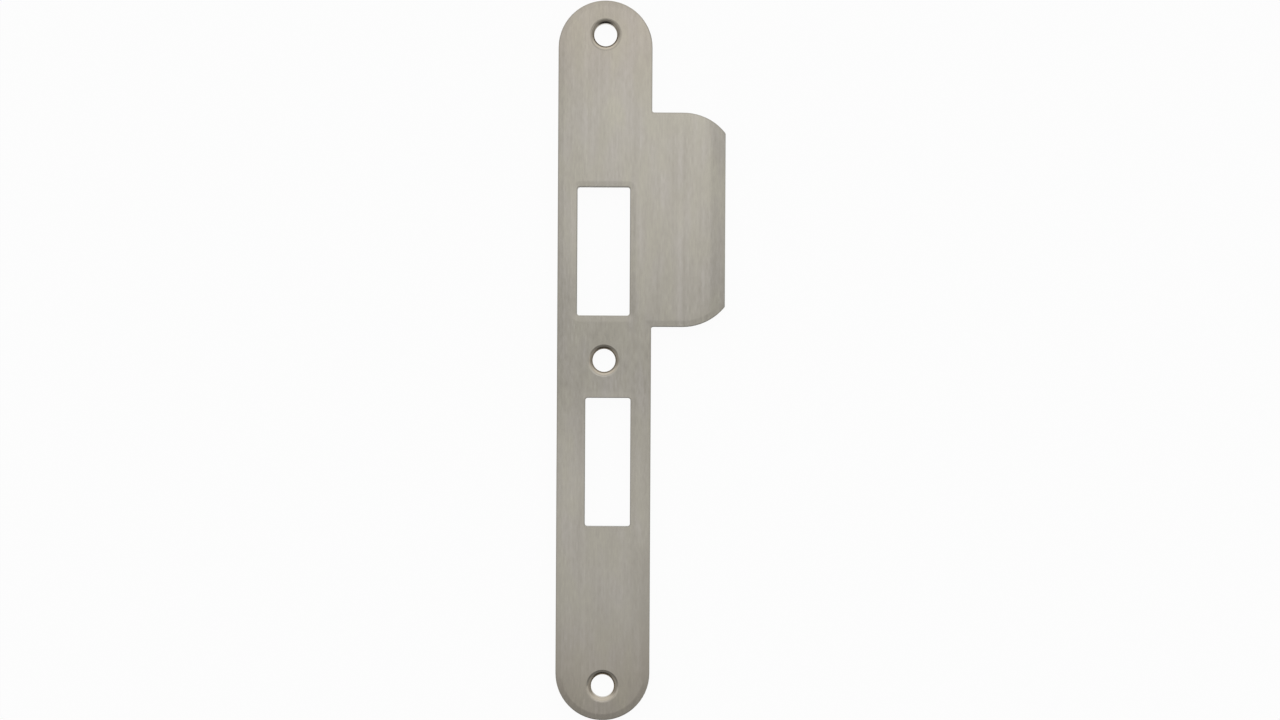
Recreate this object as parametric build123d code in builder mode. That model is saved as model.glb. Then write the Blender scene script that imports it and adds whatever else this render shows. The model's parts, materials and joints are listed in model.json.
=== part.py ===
from build123d import *
from math import cos, radians, sin, tan
import os

# Lipped strike plate for a mortice lock: one piece of stainless strip, blanked, countersunk
# and rolled. It is modelled lying on its back. The origin is on the back face, on the axis of the
# middle screw hole. +Z comes out of the face, +Y runs along the strip towards the latch end, and
# +X points the way the lip does. All sizes are in millimetres.

# Strip
plate_thickness = 2.0
strip_width = 22.0
strip_length = 168.5  # its ends are full half-rounds

# Screw holes, in a row down the middle of the strip
screw_count = 3
screw_end_margin = 7.95  # from each end of the strip to the centre of its hole
screw_hole_diameter = 5.4
countersink_diameter = 6.7  # where the cone would meet the face if its mouth were sharp
countersink_angle = 90.0
countersink_mouth_round = 1.2
least_cone_left = 0.1  # share of the cone that the rounding of its mouth has to leave

# Opening for the spring latch, measured to its centre
latch_opening_width = 12.35
latch_opening_height = 30.1
latch_opening_x = -0.25
latch_opening_y = 25.55

# Opening for the dead bolt, measured to its centre
bolt_opening_width = 10.6
bolt_opening_height = 30.1
bolt_opening_x = 0.95
bolt_opening_y = -23.85

opening_corner_radius = 0.6

# Lip, over which the latch slides before it drops into its opening
lip_reach = 17.3  # past the side of the strip
lip_height = 50.2
lip_y = 33.0
lip_corner_radius = 12.8
lip_corner_run = 10.0  # along X: the tip trims each corner arc before its quarter turn is done
lip_point_radius = 0.6  # of the blunt points where the arcs meet the tip
lip_bend_angle = 20.0  # degrees, back towards the frame of the door
lip_bend_inside_radius = 12.0
inner_corner_radius = 0.5  # where the lip leaves the strip

# What tumbling leaves along the edges
front_edge_round = 0.15
back_edge_break = 0.1

# Places worked out from the sizes
screw_spacing = (strip_length - 2 * screw_end_margin) / (screw_count - 1)
half_width = strip_width / 2
lip_tip_x = half_width + lip_reach
lip_bend_outside_radius = lip_bend_inside_radius + plate_thickness
lip_bend_x = lip_tip_x - lip_bend_outside_radius * sin(radians(lip_bend_angle))
lip_bend_drop = lip_bend_inside_radius * (1 - cos(radians(lip_bend_angle)))
untrimmed_lip_x = lip_tip_x - lip_corner_run + lip_corner_radius
cone_slant = (countersink_diameter - screw_hole_diameter) / 2 / sin(radians(countersink_angle / 2))
mouth_turn = 90 - countersink_angle / 2  # degrees between the face and the cone
largest_mouth_round = (1 - least_cone_left) * cone_slant / tan(radians(mouth_turn / 2))


def rim(plate, on_bend_line):
    """The edges round the flat face and the bend that meet at a point, less the line they share."""
    faces = plate.faces().sort_by_distance(on_bend_line)[:2]
    return faces.edges().sort_by_distance(on_bend_line)[2:]


with BuildPart() as strike_plate:
    # The rolled sheet: flat across the strip and most of the lip, then an even bend backwards
    with BuildSketch(Plane.XZ):
        with BuildLine():
            back = Line((-half_width, 0), (lip_bend_x, 0))
            back_of_bend = CenterArc(
                (lip_bend_x, -lip_bend_inside_radius),
                lip_bend_inside_radius,
                90,
                -lip_bend_angle,
            )
            front_of_bend = CenterArc(
                (lip_bend_x, -lip_bend_inside_radius),
                lip_bend_outside_radius,
                90,
                -lip_bend_angle,
            )
            Line(back_of_bend @ 1, front_of_bend @ 1)
            front = Line(front_of_bend @ 0, (-half_width, plate_thickness))
            Line(front @ 1, back @ 0)
        make_face()
    extrude(amount=strip_length / 2, both=True)

    # The outline with its two openings, cut straight through the sheet
    with BuildSketch(Plane.XY.offset(-lip_bend_drop)) as outline:
        SlotOverall(strip_length, strip_width, rotation=90)
        with Locations((0, lip_y)):
            Rectangle(untrimmed_lip_x, lip_height, align=(Align.MIN, Align.CENTER))
        inner_corners = outline.vertices().sort_by_distance((half_width, lip_y))[:2]
        fillet(inner_corners, radius=inner_corner_radius)
        lip_corners = outline.vertices().sort_by(Axis.X)[-2:]
        fillet(lip_corners, radius=lip_corner_radius)
        with Locations((latch_opening_x, latch_opening_y)):
            RectangleRounded(
                latch_opening_width,
                latch_opening_height,
                opening_corner_radius,
                mode=Mode.SUBTRACT,
            )
        with Locations((bolt_opening_x, bolt_opening_y)):
            RectangleRounded(
                bolt_opening_width,
                bolt_opening_height,
                opening_corner_radius,
                mode=Mode.SUBTRACT,
            )
    extrude(amount=plate_thickness + lip_bend_drop, mode=Mode.INTERSECT)

    # Tumbled edges: the points at the lip's tip, then all round the front and the back
    tip_edges = strike_plate.faces().sort_by(Axis.X)[-1].edges().sort_by(Axis.Y)
    fillet([tip_edges[0], tip_edges[-1]], radius=lip_point_radius)
    front_bend_line = (lip_bend_x, lip_y, plate_thickness)
    fillet(rim(strike_plate, front_bend_line), radius=front_edge_round)
    back_bend_line = (lip_bend_x, lip_y, 0)
    chamfer(rim(strike_plate, back_bend_line), length=back_edge_break)

    # Countersunk screw holes, whose cones run out into the face in a wide soft round
    with Locations((0, 0, plate_thickness)):
        with GridLocations(0, screw_spacing, 1, screw_count):
            CounterSinkHole(
                screw_hole_diameter / 2,
                countersink_diameter / 2,
                depth=plate_thickness,
                counter_sink_angle=countersink_angle,
            )
    mouths = strike_plate.faces().sort_by(Axis.Z)[-1].edges().filter_by(GeomType.CIRCLE)
    fillet(
        mouths.filter_by(lambda edge: edge.is_closed),
        radius=min(countersink_mouth_round, largest_mouth_round),
    )

strike_plate.part.label = "strike_plate"

os.makedirs("parts", exist_ok=True)
export_step(strike_plate.part, "parts/strike_plate.step")
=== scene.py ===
import json
import math

import bpy
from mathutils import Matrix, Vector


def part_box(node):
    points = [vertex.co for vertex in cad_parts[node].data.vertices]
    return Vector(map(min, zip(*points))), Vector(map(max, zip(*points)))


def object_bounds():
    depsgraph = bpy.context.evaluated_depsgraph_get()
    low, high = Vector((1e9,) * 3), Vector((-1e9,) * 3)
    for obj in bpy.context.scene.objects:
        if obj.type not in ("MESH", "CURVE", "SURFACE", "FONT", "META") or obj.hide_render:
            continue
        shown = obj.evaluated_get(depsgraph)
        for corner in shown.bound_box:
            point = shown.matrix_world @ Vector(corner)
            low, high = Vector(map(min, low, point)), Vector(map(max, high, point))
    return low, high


# A lipped door strike plate in brushed stainless steel, lying on its back on a pale table.

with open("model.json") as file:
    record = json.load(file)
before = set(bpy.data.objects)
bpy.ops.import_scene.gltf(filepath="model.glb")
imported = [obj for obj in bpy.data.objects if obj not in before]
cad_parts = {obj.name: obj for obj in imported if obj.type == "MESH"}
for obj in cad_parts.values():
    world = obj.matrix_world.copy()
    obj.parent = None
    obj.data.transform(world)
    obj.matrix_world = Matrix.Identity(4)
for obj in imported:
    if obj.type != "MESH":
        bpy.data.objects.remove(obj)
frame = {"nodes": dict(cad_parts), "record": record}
cad_low, cad_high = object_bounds()

# Strike plate
# One piece of 2 mm stainless strip. It is brushed lengthwise on both faces, then punched,
# countersunk and rolled at the lip. So its punched edges show a darker, rougher metal, and the
# cones of its screw holes a smooth one.

mm = 0.001
plate_low, plate_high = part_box("strike_plate")
strip_half_width = -plate_low.x
strip_half_length = plate_high.y

lip_centre = (0, 33.0 * mm)
lip_half_size = (31.1 * mm, 25.1 * mm)  # in X as if the tip did not trim the corner arcs
lip_corner_radius = 12.8 * mm
lip_bend_x = 23.5 * mm
lip_bend_radius = 12.0 * mm  # of the back of the bend

latch_opening_centre = (-0.25 * mm, 25.55 * mm)
latch_opening_half_size = (6.175 * mm, 15.05 * mm)
bolt_opening_centre = (0.95 * mm, -23.85 * mm)
bolt_opening_half_size = (5.3 * mm, 15.05 * mm)
opening_corner_radius = 0.6 * mm

screw_holes = [mount for mount in frame["record"]["mounts"] if mount["kind"] == "bore"]


class Wire:
    """An output of a shader node. Arithmetic on it adds Math nodes, with numbers on either side."""

    def __init__(self, graph, socket):
        self.graph = graph
        self.socket = socket

    def maths(self, operation, *operands):
        inputs = dict(enumerate(operands))
        return self.graph.node("ShaderNodeMath", {"operation": operation}, inputs)["Value"]

    def __add__(self, other):
        return self.maths("ADD", self, other)

    __radd__ = __add__

    def __mul__(self, other):
        return self.maths("MULTIPLY", self, other)

    __rmul__ = __mul__

    def __sub__(self, other):
        return self.maths("SUBTRACT", self, other)

    def __rsub__(self, other):
        return self.maths("SUBTRACT", other, self)

    def __truediv__(self, other):
        return self.maths("DIVIDE", self, other)

    def __neg__(self):
        return self * -1

    def __abs__(self):
        return self.maths("ABSOLUTE", self)

    def __pow__(self, power):
        return self.maths("POWER", self, power)

    def least(self, other):
        return self.maths("MINIMUM", self, other)

    def most(self, other):
        return self.maths("MAXIMUM", self, other)

    def root(self):
        return self.maths("SQRT", self)

    def whole(self):
        return self.maths("FLOOR", self)

    def ramp(self, start, end):
        """0 up to start, 1 from end on, and a smooth step in between."""
        settings = {"interpolation_type": "SMOOTHSTEP"}
        inputs = {"Value": self, "From Min": start, "From Max": end}
        return self.graph.node("ShaderNodeMapRange", settings, inputs)["Result"]


class Graph:
    """The nodes of one material or of the world, emptied to start with."""

    def __init__(self, tree):
        self.tree = tree
        self.tree.nodes.clear()

    def node(self, kind, settings=None, inputs=None):
        """Adds a node, sets it up and fills its inputs by name or number. Returns outputs by name."""
        made = self.tree.nodes.new(kind)
        for name, value in (settings or {}).items():
            setattr(made, name, value)
        for name, value in (inputs or {}).items():
            if isinstance(value, Wire):
                self.tree.links.new(value.socket, made.inputs[name])
            else:
                made.inputs[name].default_value = value
        return {output.name: Wire(self, output) for output in made.outputs if output.enabled}

    def split(self, vector):
        """The X, Y and Z of a vector."""
        parts = self.node("ShaderNodeSeparateXYZ", None, {"Vector": vector})
        return parts["X"], parts["Y"], parts["Z"]

    def colour_mix(self, factor, first, second, blend="MIX"):
        """first where factor is 0, and where it is 1, second, put over first the way blend says."""
        first, second = [c if isinstance(c, Wire) else (*c, 1) for c in (first, second)]
        settings = {"data_type": "RGBA", "blend_type": blend}
        inputs = {0: factor, 6: first, 7: second}  # 6 and 7 are its two colours
        return self.node("ShaderNodeMix", settings, inputs)["Result"]

    def noise(self, x, y, z, detail=1):
        """Noise from about 0 to 1, whose grain is one unit of x, y and z in size."""
        point = self.node("ShaderNodeCombineXYZ", None, {"X": x, "Y": y, "Z": z})["Vector"]
        inputs = {"Vector": point, "Scale": 1.0, "Detail": detail}
        return self.node("ShaderNodeTexNoise", None, inputs)["Fac"]


steel = bpy.data.materials.new("brushed_stainless_steel")
steel.use_nodes = True
graph = Graph(steel.node_tree)
coordinates = graph.node("ShaderNodeTexCoord")
x, y, z = graph.split(coordinates["Object"])
upright = abs(graph.split(coordinates["Normal"])[2])

# How deep a point lies under the front face, which turns down at the bend of the lip
past_bend = (x - lip_bend_x).most(0)
above_bend_axis = z + lip_bend_radius
depth = plate_high.z + lip_bend_radius - (past_bend**2 + above_bend_axis**2).root()


def rounded_rectangle(centre, half_size, radius):
    """How far a point is outside a rectangle with rounded corners, and below 0 inside it."""
    out_x = abs(x - centre[0]) - (half_size[0] - radius)
    out_y = abs(y - centre[1]) - (half_size[1] - radius)
    outside_x = out_x.most(0)
    outside_y = out_y.most(0)
    return (outside_x**2 + outside_y**2).root() + out_x.most(out_y).least(0) - radius


# How far a point of the face is from the nearest punched edge
strip = rounded_rectangle((0, 0), (strip_half_width, strip_half_length), strip_half_width)
lip = rounded_rectangle(lip_centre, lip_half_size, lip_corner_radius).most(-x)  # none where x < 0
latch_opening = rounded_rectangle(latch_opening_centre, latch_opening_half_size, opening_corner_radius)
bolt_opening = rounded_rectangle(bolt_opening_centre, bolt_opening_half_size, opening_corner_radius)
from_edge = (-strip.least(lip)).least(latch_opening).least(bolt_opening)

# Punching draws the face down along each edge
edge_draw_width = 1.5 * mm
edge_draw_slope = 0.03
edge_draw_start = 0.2 * mm  # over which the slope builds up
into_draw = (edge_draw_width - from_edge).most(0)
drawn_down = into_draw**2 / (into_draw + edge_draw_start) * -edge_draw_slope

# The cones of the screw holes, up to where they have run out into the front face
cone_ends = (3.4 * mm, 3.8 * mm)  # from the axis of the hole
front_starts = (0.5 * mm, 1.0 * mm)  # above the back
from_screw = strip_half_length  # more than any point is from the nearest hole
for screw_hole in screw_holes:
    hole_x, hole_y, _ = screw_hole["pos_m"]
    from_screw = ((x - hole_x) ** 2 + (y - hole_y) ** 2).root().least(from_screw)
in_cone = 1 - from_screw.ramp(*cone_ends)
front = z.ramp(*front_starts)

# Brush marks on both faces, in bands and patches where the brush pressed more or less. A size is
# across and along the strip.
stroke_size = (0.45 * mm, 2.2 * mm)
line_size = (0.16 * mm, 3.5 * mm)
stain_size = (6 * mm, 18 * mm)
patch_size = (4 * mm, 12 * mm)
band_width = 1.3 * mm
stroke_contrast = 0.9
line_contrast = 0.5
stain_contrast = 0.8
smear_contrast = 1.4
patch_edge = (0.3, 0.7)
middle = 0.5  # of a noise and of the finish
column_step = 7.31  # so that neighbouring columns have nothing in common
pattern_step = 30  # so that the broad pattern and the brush marks have nothing in common

level = z / (1 * mm)  # gives the back other marks than the front
broad_level = level + pattern_step


def brush_marks(width, length):
    """Marks of about that length side by side along the strip, each of one width. From about 0 to 1."""
    column = (x / width).whole()
    return graph.noise(column * column_step, y / length, level)


stains = graph.noise(x / stain_size[0], y / stain_size[1], broad_level)
bands = graph.noise(x / band_width, 0, broad_level)
patches = graph.noise(x / patch_size[0], y / patch_size[1], broad_level)
patch = patches.ramp(*patch_edge)
smears = (bands - middle) * patch
strokes = brush_marks(*stroke_size)
lines = brush_marks(*line_size)
brushed = (
    middle
    + (stains - middle) * stain_contrast
    + smears * smear_contrast
    + (strokes - middle) * stroke_contrast
    + (lines - middle) * line_contrast
)

# Colour of the brushed faces: a thin darker line along the edges, partly duller metal, partly painted
# shade;
# painted shade over the band drawn down along them; darker at the lower end's sides; warmer towards both
# ends
steel_colour = (0.472, 0.45, 0.38)
grey_patch_colour = (0.474, 0.447, 0.407)
dark_streak_colour = (0.375, 0.352, 0.306)
end_tint = (0.98, 0.92, 0.88)  # what the tint towards the ends leaves of the colour
end_tint_strength = 0.5
end_tint_starts = (55 * mm, 80 * mm)  # from the middle of the strip
# The thin line along the edges is darker partly from duller edge metal and partly from painted shade,
# which stands in for the dark reflection of the edges' rounding
rim_ends = (0.05 * mm, 0.35 * mm)  # from the edge
rim_dulling_and_painted_shade = 0.8
# Painted shade over the band that punching drew down along the edges, deepening the darkening its slope
# gives
draw_ends = (1.1 * mm, 1.5 * mm)  # from the edge
painted_draw_shade = 0.12
# The colour turns darker at the sides of the lower end
darker_lower_sides_slant = 0.6  # how much sooner it starts towards the side of the lip
darker_lower_sides_start_down = (42 * mm, 62 * mm)
darker_lower_sides_start_across = (4 * mm, 11 * mm)
darker_lower_sides_amount = 0.4

in_rim = 1 - from_edge.ramp(*rim_ends)
in_draw = 1 - from_edge.ramp(*draw_ends)
darker_lower_sides = (x * darker_lower_sides_slant - y).ramp(*darker_lower_sides_start_down) * abs(x).ramp(*darker_lower_sides_start_across)
# Taken off the brushed lightness: the rim line, partly painted shade; the drawn-down band, painted
# shade; and the darker sides of the lower end
lightness = brushed - in_rim * rim_dulling_and_painted_shade - in_draw * painted_draw_shade - darker_lower_sides * darker_lower_sides_amount
light_colour = graph.colour_mix(patch, steel_colour, grey_patch_colour)
face_colour = graph.colour_mix(lightness, dark_streak_colour, light_colour)
# The colour turns warmer towards both ends
end_tinted = abs(y).ramp(*end_tint_starts) * end_tint_strength
face_colour = graph.colour_mix(end_tinted, face_colour, end_tint, "MULTIPLY")

# Punched edges: the punch shears the front half smooth, and the rest tears off dark and rough
faces_start = (0.35, 0.95)  # how much of the normal stands upright
shear_mark_size = (0.12 * mm, 2 * mm)  # round the edge and through the plate
fracture_grain = (0.2 * mm, 0.1 * mm)
fracture_starts = (0.95 * mm, 1.05 * mm)  # under the front face
shear_raggedness = 0.4 * mm
sheared_colour = (0.3, 0.285, 0.25)
fracture_colour = (0.2, 0.19, 0.17)
cone_colour = (0.442, 0.398, 0.33)

on_edge = 1 - upright.ramp(*faces_start)
shear_marks = graph.noise(
    x / shear_mark_size[0], y / shear_mark_size[0], z / shear_mark_size[1], detail=2
)
fracture = graph.noise(x / fracture_grain[0], y / fracture_grain[0], z / fracture_grain[1], detail=4)
in_fracture = (depth + shear_marks * shear_raggedness).ramp(*fracture_starts)
edge_colour = graph.colour_mix(in_fracture, sheared_colour, fracture_colour)
cut_colour = graph.colour_mix(in_cone, edge_colour, cone_colour)
cut = on_edge.most(in_cone * front)
colour = graph.colour_mix(cut, face_colour, cut_colour)

# Gloss and relief
brushed_roughness = 0.12
stroke_roughness = 0.08
edge_roughness = 0.15
fracture_roughness = 0.2
groove_size = (0.09 * mm, 6 * mm)
groove_relief = 0.004 * mm
shear_relief = 0.006 * mm
fracture_relief = 0.02 * mm

roughness = (
    brushed_roughness
    + strokes * stroke_roughness
    + cut * (1 - in_cone) * (edge_roughness + in_fracture * fracture_roughness)
)
grooves = graph.noise(x / groove_size[0], y / groove_size[1], broad_level, detail=2)
groove_height = (grooves - middle) * groove_relief
edge_height = (shear_marks - middle) * shear_relief + (fracture - middle) * in_fracture * fracture_relief
height = drawn_down + groove_height * (1 - on_edge) + edge_height * on_edge * (1 - in_cone)

bump = graph.node("ShaderNodeBump", None, {"Strength": 1.0, "Distance": 1.0, "Height": height})
inputs = {"Base Color": colour, "Metallic": 1.0, "Roughness": roughness, "Normal": bump["Normal"]}
shader = graph.node("ShaderNodeBsdfPrincipled", None, inputs)["BSDF"]
graph.node("ShaderNodeOutputMaterial", None, {"Surface": shader})

strike_plate = frame["nodes"]["strike_plate"]
strike_plate.data.materials[0] = steel

# Table
# A matt white table top. The camera and the steel see it as plain white, with a trace of the
# plate's shadow left on it.

table_size = 12.0
table_gap = 0.01 * mm
table_colour = (0.8, 0.8, 0.8, 1)
table_whiteness = 0.95
white = (1, 1, 1, 1)

bpy.ops.object.select_all(action="DESELECT")
bpy.ops.mesh.primitive_plane_add(size=table_size, location=(0, 0, cad_low.z - table_gap))
table = bpy.context.object
table.name = "table"

table_top = bpy.data.materials.new("matt_white_table")
table_top.use_nodes = True
graph = Graph(table_top.node_tree)
ray = graph.node("ShaderNodeLightPath")
seen = ray["Is Camera Ray"].most(ray["Is Glossy Ray"]).most(ray["Is Transmission Ray"])
painted = graph.node("ShaderNodeBsdfDiffuse", None, {"Color": table_colour})["BSDF"]
glow = graph.node("ShaderNodeEmission", None, {"Color": white, "Strength": 1.0})["Emission"]
surface = graph.node("ShaderNodeMixShader", None, {0: seen * table_whiteness, 1: painted, 2: glow})
graph.node("ShaderNodeOutputMaterial", None, {"Surface": surface["Shader"]})
table.data.materials.append(table_top)

# Light
# A soft studio. Panels overhead leave a dimmer gap above the middle of the plate, and the brightest
# hangs over the lip. The walls are pale beyond the latch end and grey at the other, with a dark
# strip low down there.

wide_panel_sides = (-0.55, 0.75, -0.28, 0.3)  # its left, right, near and far edges
wide_panel_radiance = 0.15
near_panel_sides = (-0.55, 0.75, -0.183, -0.03)
near_panel_radiance = 0.29
far_panel_sides = (-0.55, 0.75, 0.057, 0.3)
far_panel_radiance = 0.15
bright_panel_sides = (-0.028, 0.15, 0.008, 0.235)
bright_panel_radiance = 0.19
panel_height = 0.7
panel_gap = 0.01  # between panels that overlap, which hide each other at one height


def add_panel(name, sides, height, radiance):
    """A rectangular lamp that faces down between those edges, and looks as bright as radiance says."""
    left, right, near, far = sides
    location = ((left + right) / 2, (near + far) / 2, height)
    bpy.ops.object.light_add(type="AREA", location=location)
    panel = bpy.context.object
    panel.name = name
    panel.data.shape = "RECTANGLE"
    panel.data.size = right - left
    panel.data.size_y = far - near
    panel.data.energy = radiance * math.pi * (right - left) * (far - near)


add_panel("wide_panel", wide_panel_sides, panel_height, wide_panel_radiance)
add_panel("near_panel", near_panel_sides, panel_height - panel_gap, near_panel_radiance)
add_panel("far_panel", far_panel_sides, panel_height - panel_gap, far_panel_radiance)
add_panel("bright_panel", bright_panel_sides, panel_height - 2 * panel_gap, bright_panel_radiance)

dark_ceiling = 0.09
pale_ceiling = 1.15
dark_strip = 0.02
grey_wall = 0.3
side_wall = 0.5
pale_wall = 1.2

# Where each turns into the next on the way from overhead, 0, to the horizon, 1
ceiling_turns_grey = (0.3, 0.5)
walls_start = (0.55, 0.85)
dark_strip_starts = (0.82, 0.93)

# And on the way from the dark strip, -1, to the pale wall, 1
ceiling_turns_pale = (-0.8, 1.0)
side_walls_start = (-1.0, -0.6)
pale_wall_starts = (0.1, 1.0)

world = bpy.data.worlds.new("studio_walls")
bpy.context.scene.world = world
world.use_nodes = True
graph = Graph(world.node_tree)
direction = graph.node("ShaderNodeTexCoord")["Generated"]
across, along, _ = graph.split(direction)
from_zenith = (across**2 + along**2).root()
towards_latch_end = along / from_zenith
ceiling = along.ramp(*ceiling_turns_pale) * (pale_ceiling - dark_ceiling) + dark_ceiling
ceiling = ceiling.most(from_zenith.ramp(*ceiling_turns_grey) * grey_wall)
end_wall = grey_wall + from_zenith.ramp(*dark_strip_starts) * (dark_strip - grey_wall)
wall = (
    end_wall
    + towards_latch_end.ramp(*side_walls_start) * (side_wall - end_wall)
    + towards_latch_end.ramp(*pale_wall_starts) * (pale_wall - side_wall)
)
on_wall = from_zenith.ramp(*walls_start)
studio = wall * on_wall + ceiling * (1 - on_wall)
background = graph.node("ShaderNodeBackground", None, {"Color": white, "Strength": studio})
graph.node("ShaderNodeOutputWorld", None, {"Surface": background["Background"]})

# Camera
# It looks straight down from half a metre above the plate's face, as the photograph does.

picture_size = (1280, 720)
camera_above_face = 0.5
pixels_per_metre = 4271.4  # at the plate's face
middle_hole_in_picture = (603.98, 360.32)
plate_lean = math.radians(0.295)  # clockwise in the picture
sensor_width = 36.0  # in millimetres, as its lens is
nearest_seen = 0.01

right = (picture_size[0] / 2 - middle_hole_in_picture[0]) / pixels_per_metre
up = (middle_hole_in_picture[1] - picture_size[1] / 2) / pixels_per_metre
camera_x = right * math.cos(plate_lean) - up * math.sin(plate_lean)
camera_y = right * math.sin(plate_lean) + up * math.cos(plate_lean)
camera_z = plate_high.z + camera_above_face

bpy.ops.object.camera_add(location=(camera_x, camera_y, camera_z), rotation=(0, 0, plate_lean))
camera = bpy.context.object
camera.data.sensor_width = sensor_width
camera.data.lens = sensor_width * camera_above_face * pixels_per_metre / picture_size[0]
camera.data.clip_start = nearest_seen
bpy.context.scene.camera = camera
bpy.context.scene.view_settings.view_transform = "Standard"
